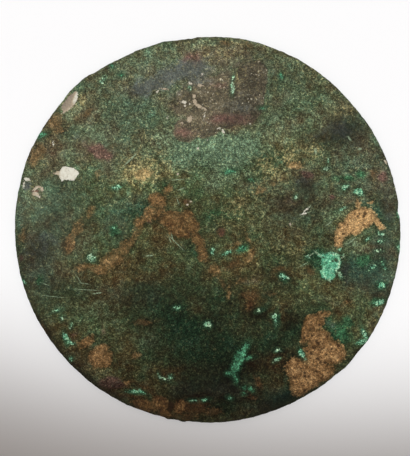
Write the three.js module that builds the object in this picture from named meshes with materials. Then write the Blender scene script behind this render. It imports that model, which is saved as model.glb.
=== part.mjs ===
// Ancient bronze disc mirror, lying on its back with the reflecting face up.
// Millimetres, +Z up. The origin is on the flat underside, below the middle of the disc.
import * as THREE from "three";

// ---- driving dimensions -------------------------------------------------------------------
const discRadius = 80; // mean radius of the cast disc
const rimThickness = 2.6; // height of the rounded edge
const edgeRound = 1.2; // how far the edge curves in, above and below its widest line
const crown = 1.3; // how much the face rises from its edge to its middle
const crustFade = 3; // crusts thin out to nothing over this distance from the edge
const rimSectors = 360; // points round the edge
const rimSteps = 5; // strips from the face, round the edge, to the underside
const faceCell = 4; // spacing of the points on the face

// The casting is slightly out of round: each entry is a number of lobes, how far they stand
// out and the direction of the first one, in degrees from +X.
const lobes = [
  { count: 2, height: 0.22, crest: -45 },
  { count: 3, height: 0.06, crest: -35 },
  { count: 4, height: 0.16, crest: -26 },
  { count: 6, height: 0.1, crest: 17 },
];

// Swellings and chips of the corroded edge: direction and half width in degrees, and height.
const rimMarks = [
  { at: 5.6, halfWidth: 2.4, height: -0.6 },
  { at: 41, halfWidth: 12, height: -0.28 },
  { at: 79, halfWidth: 8, height: 0.22 },
  { at: 94.8, halfWidth: 1.6, height: -0.45 },
  { at: 98, halfWidth: 4, height: -0.4 },
  { at: 103.5, halfWidth: 2.5, height: 0.2 },
  { at: 111.6, halfWidth: 1.2, height: 0.5 },
  { at: 115, halfWidth: 8, height: -0.35 },
  { at: 129.5, halfWidth: 4.5, height: 0.95 },
  { at: 134.5, halfWidth: 4.5, height: 0.75 },
  { at: 158, halfWidth: 8, height: 0.25 },
  { at: 255, halfWidth: 12, height: -0.25 },
  { at: 258.2, halfWidth: 1.4, height: 0.55 },
  { at: 262.7, halfWidth: 1.4, height: 0.45 },
  { at: 280, halfWidth: 15, height: 0.25 },
  { at: 316, halfWidth: 4.5, height: 0.4 },
  { at: 327, halfWidth: 7, height: 0.2 },
  { at: 353, halfWidth: 12, height: 0.15 },
];

// Earth and corrosion crusts on the face: middle, half length, half width, turn in degrees
// and height. Where two overlap, the higher one counts.
const crusts = [
  { name: "lower right, upper lobe", x: 44, y: -41, length: 7, width: 5, turn: 80, height: 0.8 },
  { name: "lower right, middle", x: 49, y: -51, length: 11, width: 7, turn: -20, height: 0.9 },
  { name: "lower right, foot", x: 41, y: -60, length: 10, width: 8, turn: 25, height: 0.9 },
  { name: "right", x: 62, y: 4, length: 10, width: 6, turn: 30, height: 0.8 },
  { name: "centre left, peak", x: -21, y: 10, length: 6, width: 3.5, turn: 60, height: 0.5 },
  { name: "centre left, body", x: -12, y: 3, length: 8, width: 6, turn: -25, height: 0.5 },
  { name: "centre left, left limb", x: -41, y: -13, length: 9, width: 4.5, turn: 35, height: 0.5 },
  { name: "bottom edge", x: -19, y: -73, length: 13, width: 5, turn: -10, height: 0.6 },
  { name: "lower left", x: -44, y: -53, length: 6, width: 5.5, turn: 0, height: 0.7 },
  { name: "turquoise bloom", x: 50, y: -14, length: 6, width: 5.5, turn: 90, height: 0.5 },
];

// ---- shape --------------------------------------------------------------------------------

// A smooth hump: 1 in the middle, 0 from t = 1 outwards.
const hump = (t) => (Math.abs(t) < 1 ? (1 - t * t) ** 2 : 0);

function edgeRadius(angle) {
  const degrees = THREE.MathUtils.radToDeg(angle);
  let radius = discRadius;
  for (const { count, height, crest } of lobes) {
    radius += height * Math.cos(count * THREE.MathUtils.degToRad(degrees - crest));
  }
  for (const { at, halfWidth, height } of rimMarks) {
    radius += height * hump((degrees - at) / halfWidth);
  }
  return radius;
}

function crustHeight(x, y) {
  let height = 0;
  for (const crust of crusts) {
    const turn = THREE.MathUtils.degToRad(crust.turn);
    const along = (x - crust.x) * Math.cos(turn) + (y - crust.y) * Math.sin(turn);
    const across = (y - crust.y) * Math.cos(turn) - (x - crust.x) * Math.sin(turn);
    const distance = Math.hypot(along / crust.length, across / crust.width);
    height = Math.max(height, crust.height * hump(distance));
  }
  return height;
}

// ---- mesh: rings of points from the middle of the face, over the edge, to the underside ------

class RingMesh {
  points = [];
  triangles = [];
  last = null;

  // Adds a ring of `count` points, each given by place(angle), and joins it to the ring before.
  add(count, place) {
    const ring = [];
    for (let i = 0; i < count; i++) {
      ring.push(this.points.length);
      this.points.push(place((i / count) * 2 * Math.PI));
    }
    if (this.last) this.join(this.last, ring);
    this.last = ring;
  }

  // Walks round two rings together; the one whose next point comes first steps on.
  join(inner, outer) {
    const innerSteps = inner.length > 1 ? inner.length : 0;
    const outerSteps = outer.length > 1 ? outer.length : 0;
    let i = 0;
    let j = 0;
    while (i < innerSteps || j < outerSteps) {
      const a = inner[i % inner.length];
      const b = outer[j % outer.length];
      const nextInner = i < innerSteps ? (i + 1) / innerSteps : Infinity;
      const nextOuter = j < outerSteps ? (j + 1) / outerSteps : Infinity;
      if (nextOuter <= nextInner) {
        j += 1;
        this.triangles.push(a, b, outer[j % outer.length]);
      } else {
        i += 1;
        this.triangles.push(a, b, inner[i % inner.length]);
      }
    }
  }

  geometry() {
    const geometry = new THREE.BufferGeometry().setFromPoints(this.points);
    geometry.setIndex(this.triangles);
    geometry.computeVertexNormals();
    return geometry;
  }
}

function discGeometry() {
  const mesh = new RingMesh();
  const faceRings = Math.round((discRadius - edgeRound) / faceCell);

  // The crowned face, with its crusts.
  for (let k = 0; k < faceRings; k++) {
    const share = k / faceRings;
    const count = k === 0 ? 1 : Math.round((2 * Math.PI * share * discRadius) / faceCell);
    mesh.add(count, (angle) => {
      const radius = share * (edgeRadius(angle) - edgeRound);
      const x = radius * Math.cos(angle);
      const y = radius * Math.sin(angle);
      const fade = Math.min(1, ((1 - share) * discRadius) / crustFade);
      const z = rimThickness + crown * (1 - share * share) + fade * crustHeight(x, y);
      return new THREE.Vector3(x, y, z);
    });
  }

  // The rounded edge, half an ellipse from the face down to the underside.
  for (let k = 0; k <= rimSteps; k++) {
    const slope = Math.PI * (0.5 - k / rimSteps);
    mesh.add(rimSectors, (angle) => {
      const radius = edgeRadius(angle) - edgeRound * (1 - Math.cos(slope));
      const z = (rimThickness / 2) * (1 + Math.sin(slope));
      return new THREE.Vector3(radius * Math.cos(angle), radius * Math.sin(angle), z);
    });
  }

  // The flat underside.
  mesh.add(1, () => new THREE.Vector3(0, 0, 0));
  return mesh.geometry();
}

// ---- the part -----------------------------------------------------------------------------

const patinatedBronze = new THREE.MeshStandardMaterial({
  name: "patinated_bronze",
  color: 0x47513b,
  roughness: 0.75,
  metalness: 0.3,
});

const disc = new THREE.Mesh(discGeometry(), patinatedBronze);
disc.name = "mirror_disc";

const mirror = new THREE.Group();
mirror.name = "bronze_mirror";
mirror.add(disc);

export default mirror;
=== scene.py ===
import math

import bpy
import numpy as np
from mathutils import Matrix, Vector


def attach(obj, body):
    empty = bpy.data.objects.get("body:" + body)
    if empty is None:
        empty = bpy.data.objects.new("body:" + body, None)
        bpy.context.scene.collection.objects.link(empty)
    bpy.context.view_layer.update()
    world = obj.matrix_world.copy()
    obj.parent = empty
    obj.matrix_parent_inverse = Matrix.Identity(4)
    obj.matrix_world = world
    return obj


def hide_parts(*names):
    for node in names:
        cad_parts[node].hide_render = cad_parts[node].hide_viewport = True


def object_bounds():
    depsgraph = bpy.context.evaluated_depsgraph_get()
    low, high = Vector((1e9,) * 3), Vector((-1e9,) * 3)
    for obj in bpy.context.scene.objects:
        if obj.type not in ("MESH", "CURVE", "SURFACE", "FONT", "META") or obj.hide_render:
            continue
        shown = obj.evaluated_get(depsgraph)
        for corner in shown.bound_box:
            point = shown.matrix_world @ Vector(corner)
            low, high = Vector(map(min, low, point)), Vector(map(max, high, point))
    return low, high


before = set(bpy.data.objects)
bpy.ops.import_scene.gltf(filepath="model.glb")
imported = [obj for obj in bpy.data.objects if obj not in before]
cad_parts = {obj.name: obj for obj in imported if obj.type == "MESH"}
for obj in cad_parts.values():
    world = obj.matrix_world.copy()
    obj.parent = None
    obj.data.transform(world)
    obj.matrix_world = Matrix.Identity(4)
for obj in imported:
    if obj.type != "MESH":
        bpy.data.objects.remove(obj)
cad_low, cad_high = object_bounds()

MM = 0.001

# ---- driving sizes, in millimetres ----------------------------------------------------------
RIM_THICKNESS = 2.6  # height of the rounded edge
EDGE_ROUND = 1.2  # how far the edge curves in, above and below its widest line
CROWN = 1.3  # how much the face rises from its edge to its middle
FACE_CELL = 0.53  # spacing of the points on the face and the edge
BACK_CELL = 1.3  # and on the plainer underside
RIM_STEPS = 10  # strips from the face, round the edge, to the underside
EDGE_FADE = 2.0  # relief thins out to nothing over this distance from the edge
EDGE_WEAR = 0.16  # how far noise pushes the outline in and out
EDGE_INSET = 0.06  # how far the whole outline is set in
EDGE_LUMPS = 0.12  # unevenness of the rounded edge
GRIME_AND_SHADE_FADE = 0.8  # grime and painted shade of the edge thin out over this distance
BACK_RELIEF = 0.3  # depth of the hollows in the underside
GRAINS, FINE_GRAINS, SWELLS = 0.06, 0.03, 0.06  # heights of the general roughness of the face
BARE_DEPTH = 0.14  # how far the bared metal lies below the crust
MALACHITE_HEIGHT = 0.12
PIT_DEPTH = 0.35
POCK_DEPTH = 0.2  # of the hollows between the grains

# ---- other settings -------------------------------------------------------------------------
SEED = 4071
BACK_SLOPE = -math.pi / 2 + 0.01  # slopes below this, in radians, are the underside
PALENESS = 0.13  # doublings of brightness of the whole patina
MAP_FACE, MAP_BACK = (0.4, 0.39), (0.81, 0.18)  # middle and radius of each side on the bake map
DIRECTIONS = 360  # in which the edge of the CAD disc is measured
VIEW_HEIGHT = 1.1740474  # height of the view, in diameters of the disc
VIEW_MIDDLE = (-0.0011, 0.0007)  # what the camera looks straight down on, in metres

# ---- what has grown on the face -------------------------------------------------------------
# A patch is an ellipse: x, y of its middle from the middle of the disc, half length, half width
# and, where it has one, turn in degrees. The patches of a growth overlap to give its outline.

# Earth: what it is, tone from 0 dark brown to 1 light ochre, thickness, patches.
EARTH = [
    ("right crust", 1.0, 0.75, [
        (62, 3.6, 7.2, 4.8, 24), (56, 0.6, 4, 3, 50), (54.4, -3.6, 3.4, 2, 84), (69.8, 3.4, 3.6, 1.5, -42),
        (61.6, 10.4, 1, 1.9), (67.4, 11.3, 1.2, 0.5, 30),
    ]),
    ("lower right crust", 0.55, 0.85, [
        (46.2, -45.4, 5.4, 4.2, -25), (50.6, -50.4, 6.4, 5.4, -20), (44.6, -53.4, 6, 6),
        (36.8, -56.8, 4.8, 4.6), (40.4, -62, 7.2, 5.2, 28), (48, -59.4, 5, 3.4, 35),
        (38.4, -66.6, 3.4, 2, 24),
    ]),
    ("upper arm of the lower right crust", 0.42, 0.6, [
        (43.6, -38.6, 4.8, 3.8, 30), (47.2, -35.4, 3, 1.2, 15), (40.4, -43, 4.4, 2.4, 78),
    ]),
    ("top of the centre left crust", 0.48, 0.45, [
        (-20.8, 11.6, 3.6, 3.3), (-16.6, 16.2, 3, 1.4, 48), (-24, 6.6, 3.6, 2.4, 62),
        (-27.4, 3, 3.8, 2, 42),
    ]),
    ("centre left crust", 0.3, 0.45, [
        (-20.6, 6.8, 3.4, 2, 50), (-14.6, 4.4, 5.6, 3.8, -8), (-9.2, 4, 4.8, 4.2), (-6.2, 1.4, 3, 3.2),
        (-11, -0.6, 5, 2.6, -14), (-4.4, -3.8, 4.2, 2.7, -42), (-2.6, -7.8, 3.4, 2.3, -60),
        (-2, -10.8, 2.4, 2.1, 80),
    ]),
    ("left limb", 0.45, 0.3, [
        (-29.6, -2, 5, 1.4, 48), (-34.6, -7.6, 5.6, 2.6, 50), (-39.4, -12, 5.6, 3.6, 30),
        (-43.6, -15.8, 5.6, 2.4, 10), (-50.4, -15.4, 4.4, 1.9, -6),
    ]),
    ("left streak", 0.55, 0.25, [
        (-56.4, -5, 5, 2, 80), (-53.6, 0.8, 4.2, 2.1, 64), (-48.4, 6.4, 3.6, 1.5, 60),
    ]),
    ("lower left knob", 0.52, 0.5, [
        (-44, -53.2, 5.2, 4.6), (-43.6, -49.4, 3, 1.8, 10), (-50.6, -46.8, 3.6, 2, 40),
        (-48.4, -44.4, 1.2, 1.2),
    ]),
    ("bottom edge crust", 0.22, 0.5, [
        (-26.4, -73, 5.4, 2.4, -14), (-19.6, -71.6, 3.6, 3.2), (-11.6, -73.4, 2.6, 3.2, -8),
        (-18, -77, 4, 1.6, -5), (-18.6, -75.6, 3, 2),
    ]),
    ("dark end of the bottom edge crust", -0.05, 0.14, [
        (-5, -73.8, 5.4, 2.8), (-8, -77.2, 6, 1.6, 2), (2, -75.6, 4, 1.6, 4),
    ]),
    ("tan stain in the golden speckle", 0.8, 0.2, [
        (-26.4, 23, 3.8, 2.2), (36, 27, 3.2, 1.5),
    ]),
    ("small earth spots", 0.55, 0.25, [
        (17, -11.2, 3.6, 1.5, 58), (2.8, -16.2, 2.9, 1.9, -72), (16.6, -2.8, 2.8, 1, -72),
        (12.2, -5.4, 1.8, 1, 10), (58, -29.2, 1.3, 0.9), (-33.6, -63, 1.8, 1.1), (21.6, 16.2, 2, 1.6, 20),
        (27.4, 18.6, 1.2, 0.8), (68.4, 23, 1.5, 1.7), (-29.8, -51.6, 1.4, 1), (17.2, 76.6, 2.2, 0.9, -30),
        (7, 77, 2.4, 1, 10), (8.6, -26.6, 3, 0.9, 86), (-10, 22.6, 0.8, 0.6), (-1, -11, 0.9, 1.6, 10),
    ]),
    ("small rusty spots", 0.12, 0.2, [
        (17.2, -26.6, 3.6, 2, -4), (17.8, -30.8, 2.2, 1.1, 74), (26.2, -26.4, 2.2, 0.9),
        (5.8, -0.6, 2.2, 1.6, 84), (29.8, -15.8, 1.9, 1.4), (42, -16.6, 2, 1.1, -50),
        (14.2, -20.6, 2.6, 0.9, 30), (10.4, -14.2, 3.4, 1, 24), (21, -63.4, 2.4, 0.9, -62),
        (18, -69.4, 1.5, 0.9), (-68, -40.4, 2.2, 0.9, -50), (-8.6, 11.8, 2, 1.2), (6, -22, 2.8, 0.8, -60),
        (-27, -38, 4.4, 1.4),
    ]),
    ("stains by the upper left edge", 0.5, 0.2, [
        (-63.4, 44.4, 4.4, 2.2, 58), (-61.6, 41, 2.4, 1.6), (-70.6, 31, 4.8, 2.4, 62),
        (-49.2, 48.8, 3, 1.1, 52), (-76.6, -1.8, 3.6, 1.4, 80), (-45, 22.6, 2, 1, 70),
    ]),
]

# Turquoise and pale green blooms: what it is, tone from 0 deep to 1 whitish, thickness, patches.
BLOOM = [
    ("main bloom", 0.58, 0.35, [
        (50.9, -13.4, 4.2, 3.9, -10), (49.8, -17.8, 3.2, 2.9, 10), (47.6, -11, 2.2, 0.9, -14),
    ]),
    ("side spikes of the main bloom", 0.75, 0.25, [
        (41.4, -11.2, 0.7, 0.5, 24), (54.8, -18.6, 1, 0.6, -60), (54.6, -8, 0.6, 0.5),
        (52.8, -16, 2.6, 0.9, 76), (52.6, -10.6, 2.2, 0.7),
    ]),
    ("lower streak", -0.1, 0.3, [
        (15.1, -48.8, 2.2, 0.9, 60), (13, -52.8, 3.4, 1.8, 60), (11.4, -56.8, 2.8, 1.6, 62),
        (8.8, -59.1, 1, 0.8), (11.4, -61.4, 1.3, 0.7, -70), (16.8, -52.8, 1.3, 0.5, 10),
        (17.6, -65.8, 1.2, 0.7, -34), (15, -65.2, 0.8, 0.6), (14.8, -67.6, 0.6, 0.5),
    ]),
    ("edge and side spots", 0.55, 0.25, [
        (39, -51.2, 2, 0.9, -58), (65, -42.6, 2.2, 0.8, -64), (63.8, -46.6, 1.9, 0.8, 22),
        (-59, -44, 1.9, 0.8, -84), (-57, -46.6, 1.4, 0.5, -20), (-30.8, -66.8, 1.8, 0.45),
        (-27.4, -67, 1.4, 0.35, -34), (31.4, -19.4, 1.2, 0.6, -20), (30.4, -18.4, 0.5, 0.4),
        (56.6, 17.4, 1.3, 0.9, 20), (62, 15.6, 1.8, 1.2, -24), (72, -23, 1.5, 1.1),
        (71, -30.2, 2.2, 0.7, 16), (68, -15.8, 1.3, 0.5, 34), (72.8, -14.8, 1.2, 0.4, -60),
        (71.4, -4.8, 1, 0.5, 20), (66, -3.8, 1.1, 0.4, 30), (79, 6.6, 1.5, 0.7, 84),
        (-5.8, -70.8, 0.7, 0.3), (-1.2, -70.4, 0.8, 0.35, 10), (9.1, -69.4, 0.6, 0.4),
        (78.8, -7.6, 1.4, 0.6, -70), (-76.6, -21, 1.4, 0.6, -50), (-38.4, 0.8, 0.6, 0.5),
        (-37.4, 17.6, 1.9, 0.9, 16), (-56.6, -53.4, 0.9, 0.6, 40), (7.8, -9.8, 1.7, 0.6, 14),
        (2, -8.8, 0.7, 1.1),
    ]),
    ("pale spots", 0.85, 0.2, [
        (10.2, 58.3, 0.7, 1.8), (10.6, 62.6, 0.45, 1.3, -8), (-7.1, 58.4, 0.6, 0.8),
        (27.6, -35.4, 0.9, 0.7), (28, -38, 1.1, 0.25, 88), (-0.4, -39.2, 1.2, 0.9, 16),
        (-47.8, -11.8, 1.6, 1.2, -30), (71.2, -1.7, 1, 0.5, -20), (55.5, 8.9, 1.6, 0.4, 20),
        (70.6, -8.9, 0.9, 0.3), (-43, 62.4, 0.5, 0.9, -20), (-44, 60.8, 0.5, 0.4), (49.8, 28.8, 0.3, 0.8),
        (-15.2, -60.8, 0.8, 0.7), (-17.6, -61.8, 1.1, 0.3, -20), (-19.8, -60.6, 0.3, 0.7, 20),
        (28.4, -54, 0.9, 0.5, 30), (28.8, -49.8, 0.8, 0.45), (22, -33, 0.8, 0.35, 20),
        (-62.4, -33.6, 0.9, 0.35, 10), (-60.4, -36.6, 0.4, 0.6), (-56.4, -39.4, 0.4, 0.7, -20),
        (36.6, 13.8, 0.5, 0.6), (-12.6, -32, 0.7, 0.4), (48.8, 25, 0.9, 0.5),
    ]),
    ("faint spots", -0.15, 0.15, [
        (-68.6, 39, 2.4, 0.9, 30), (9.4, 24, 2, 0.7, 14), (30.2, 63.6, 0.6, 1.1), (13.6, -8, 2, 0.9, 30),
        (18, 20.4, 1.2, 0.5), (-40, 68, 0.5, 0.9, 20), (-36, 64, 1, 0.6), (22, 50, 0.8, 0.5),
    ]),
]

# Mid green malachite: patches with soft, patchy edges.
MALACHITE = [
    (57.4, -38.2, 2.7, 3, -20), (55, -44, 2, 3.6, -20), (45.6, -10.8, 3.6, 2, -20),
    (64.2, -13.2, 3.8, 2.6, 30), (62.8, 23, 1.8, 1.5), (-69.4, -21.4, 1.4, 2), (12.4, -55, 6.6, 2.6, 62),
    (14.4, -7.6, 3, 1.6, 30), (57, 21, 3.6, 1.2), (-29.6, -67.2, 2.4, 0.6, -10),
    (70.8, -29.8, 3.4, 1.6, 10), (9, 24.2, 2, 0.9, 10), (-58.6, -45.4, 1, 2.2, 20),
    (31.4, -19.6, 2, 1, -20), (72, -22.4, 1.8, 1.4), (-38, -0.6, 2.4, 2.6), (28.2, -36.8, 1.4, 3.2),
]

# Cuprite: the smooth brown metal bared where the green crust has come away. Its lower edge is
# the broken edge of that crust.
CUPRITE = [
    (-9, 40.8, 5.2, 5), (-1, 45.4, 8.4, 7.4, 24), (7, 49.4, 10, 8, 14), (14.6, 52.4, 8.4, 9),
    (18.6, 58.6, 5.4, 12, -14),
]

# Lime and bare white spots: what it is, tone from 0 grey pink to 1 white, thickness, patches.
# A patch that is a list is a flake with straight broken edges, given by its corners.
LIME = [
    ("white chip", 0.95, 0.4, [
        [(-61.4, 22.2), (-61, 24.4), (-59.7, 26.1), (-55.5, 25.6), (-52.9, 23.5),
         (-55.2, 20.3), (-59.2, 20.7), (-60.1, 19.8)],
    ]),
    ("pink point of the chip", 0.45, 0.3, [[(-64.2, 23.3), (-61, 24.4), (-60.6, 22)]]),
    # The edge chip is drawn as two halves of one pale flake: the white half on the right carries a painted
    # highlight, the grey half on the left painted shade.
    ("edge chip, grey side", 0.2, 0.2, [
        [(-54.2, 57.6), (-55.2, 51.4), (-59.4, 48.4), (-60.6, 50.6), (-57.6, 55)],
    ]),
    ("edge chip", 1.0, 0.25, [[(-53.6, 57.6), (-53.8, 54), (-55.2, 51.4), (-57.4, 52.4)]]),
    ("line under the edge chip", 0.7, 0.2, [(-57.8, 49.6, 2.6, 0.45, 36)]),
    ("white spots by the left edge and right of the middle", 0.85, 0.2, [
        (-74.6, 20.8, 1.4, 0.6, -12), (-76, 18.6, 0.35, 1.4, -8), (40.9, 8.5, 1.2, 0.3, 35),
        (39.6, 6.6, 1.2, 0.45, 20), (-63.8, 35.6, 0.35, 0.8, 8), (-69.6, 13.6, 0.5, 0.4),
    ]),
    ("pink spots by the left edge", 0.55, 0.2, [
        (-71.2, 16.9, 1.5, 0.55, 36), (-69.8, 17.7, 1.2, 0.45, -8), (-68.4, 16.7, 0.6, 0.9, 10),
        (-71, 14.7, 1.5, 0.75, -12),
    ]),
    ("specks on the bare metal", 0.8, 0.15, [
        (-20.8, 57, 0.6, 0.35, 40), (-2.4, 64, 0.7, 0.35, 56), (-3.2, 62.7, 0.3, 0.3),
        (-7.1, 60.4, 0.9, 0.5, -34), (-9.8, 52.6, 1.1, 0.6, -16), (-9.4, 51.1, 0.4, 0.35),
        (-11.7, 55.9, 0.7, 0.25), (-7.4, 51.9, 0.3, 0.35), (-1.4, 47.1, 0.25, 1.1),
        (-16.5, 46.4, 0.3, 0.6), (6.3, 40.6, 1.1, 0.4, -56), (4.6, 41.8, 0.8, 0.25, 10),
        (-4, 33.5, 0.5, 0.4, 60), (0, 37, 0.5, 0.3, 30), (17.6, 43.6, 0.5, 0.3),
    ]),
    ("tan specks on the bare metal", 0.45, 0.15, [
        (-5.6, 55, 0.7, 0.9), (-5.3, 52.7, 0.8, 1.2, 10), (-3.7, 51, 1.6, 0.7, -34),
        (-1.4, 49.9, 1.2, 0.4, -30), (-7.4, 45.6, 1.4, 0.9, 70), (-2.8, 59.5, 1.3, 0.5, -8),
        (-18, 58.1, 1.8, 0.35, -6), (6.9, 58.6, 0.6, 0.4), (-10.6, 44, 0.6, 0.4),
    ]),
    ("small pale marks", 0.6, 0.12, [
        (-12.4, 23, 0.5, 0.5), (34, 2.2, 0.5, 0.5), (73.6, 28, 0.9, 0.5, -60), (-8.4, 10.3, 0.5, 0.4),
        (-7, 11.7, 0.4, 0.4),
    ]),
]

# Thin pale lines, scratches and crystal arms: x, y of the middle, half length, half width, turn.
THREADS = [
    (-31.9, 28.9, 3.4, 0.32, 44), (-13.1, -5.3, 4.2, 0.18, -45), (-14.6, -3, 1.6, 0.16, -75),
    (-15.6, -4, 1.4, 0.16, -70), (-23.9, -10.7, 1.3, 0.28, 4), (-12.3, 11.8, 1.6, 0.16, -70),
    (45.3, -9.9, 2, 0.3, -38), (43, -10.1, 2.2, 0.22, 36), (55.8, -11.3, 1.3, 0.28, 30),
    (54.6, -18.4, 1, 0.45, -56), (50.2, -21, 0.9, 0.3, -44), (39.6, -14.4, 2.3, 0.14, 27),
    (40.2, 6.8, 2, 0.25, 14), (41.4, 9, 1.5, 0.22, 40), (-12.6, 20.6, 2.4, 0.2, 4),
    (-10.8, 16.8, 1.5, 0.25, 20), (-51, -22.2, 2, 0.16, -8), (59.5, -4.6, 1.8, 0.25, 40),
    (-53.4, -20, 2.2, 0.14, -60), (-50, -24.8, 5, 0.12, -3), (-64, -27.6, 4.6, 0.1, -6),
    (-45.6, -26.2, 1.8, 0.25, 8), (-67.4, -22.4, 2, 0.12, -20), (49.8, 2.4, 1.8, 0.2, 35),
    (58.6, 37.6, 1.1, 0.35, -55), (62.8, 33.4, 0.8, 0.45, 0), (44.6, 32.4, 0.6, 1.2, 0),
]

# Deep pits in the earth crusts and the main bloom: x, y, radius.
PITS = [
    (44.8, -46, 0.7), (43.4, -48.6, 0.6), (47.2, -49, 0.5), (51.2, -49.2, 0.6), (46.6, -54.8, 0.8),
    (45, -58.6, 0.6), (49.4, -58.8, 0.5), (38.2, -57.2, 0.6), (41.8, -60.4, 0.5), (51, -54.2, 0.5),
    (36, -61, 0.6), (62, 5.4, 0.5), (54.4, -3.4, 0.5), (54.8, -5.4, 0.4), (59.6, -0.6, 0.35),
    (-15.6, -74.2, 1.2), (-15, -72.2, 1.3), (-8.8, -72.6, 0.6), (-8.6, -75, 0.6), (52.9, -12.5, 1),
    (51.7, -12.9, 0.6), (47.7, -11.3, 0.5),
]

# Broad, soft differences, which fade out from the middle of each patch: for every field its
# patches by strength. Fields add up where patches lie over each other.
SOFT = {}

# Bare brown metal, thinning out where it has no edge of its own.
SOFT["bare"] = {
    1: [(-2, 54, 11, 9)], 0.8: [(6, 60, 9, 7)], 0.7: [(17, 66, 6, 8, -10)], 0.5: [(-12, 51, 5, 6)],
    0.4: [(31, 54, 9, 3.4, 48)],
}

# Smooth, with less grain than elsewhere.
SOFT["calm"] = {
    1: [(54, 41, 12, 6, 8)], 0.8: [(-64, 4, 14, 22), (30, -72, 14, 4, 20), (14, 56, 10, 14)],
    0.7: [(-50, 36, 10, 5, -10), (40, 18, 7, 5), (74, 8, 4, 14)], 0.6: [(-8, 44, 8, 5)],
    0.5: [(-68, -30, 8, 12, 25), (0, -64, 18, 8), (-36, 2, 8, 8), (70, -20, 8, 8)],
    0.4: [(-20, -28, 16, 7), (34, 8, 8, 6)],
}

# Towards a paler grey, dust together with painted sheen, as on most of the disc but the middle and
# the lower part.
SOFT["dust"] = {
    0.9: [(-6, 64, 60, 22)],
    0.8: [(-66, 8, 16, 34), (64, 26, 18, 30), (75, -22, 7, 26), (8, -66, 9, 4), (75, 20, 4, 7),
          (71, -5, 3, 4)],
    0.7: [(28, -70, 14, 4, 20), (62, -17, 7, 6), (-70, -18, 6, 7), (-78, 8, 3, 9)],
    0.6: [(-9, -66, 6, 4), (-38, 2, 6, 6), (66, -19, 8, 7)],
    0.5: [(-40, 38, 20, 14), (34, 10, 14, 12), (-40, 26, 4, 6), (-30, 10, 10, 5), (40, 22, 4, 6),
          (-30, 55, 6, 5)],
    0.4: [(-46, -62, 16, 6, -35), (0, 34, 26, 10), (-36, -26, 10, 4), (-22, -28, 5, 6), (18, 18, 9, 3)],
    0.3: [(30, 42, 10, 5)], -0.3: [(-12, -30, 8, 8)], -0.4: [(62, 3, 8, 7)],
    -0.5: [(20, -34, 4, 4), (-18, -61, 4, 4)],
}

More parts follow.
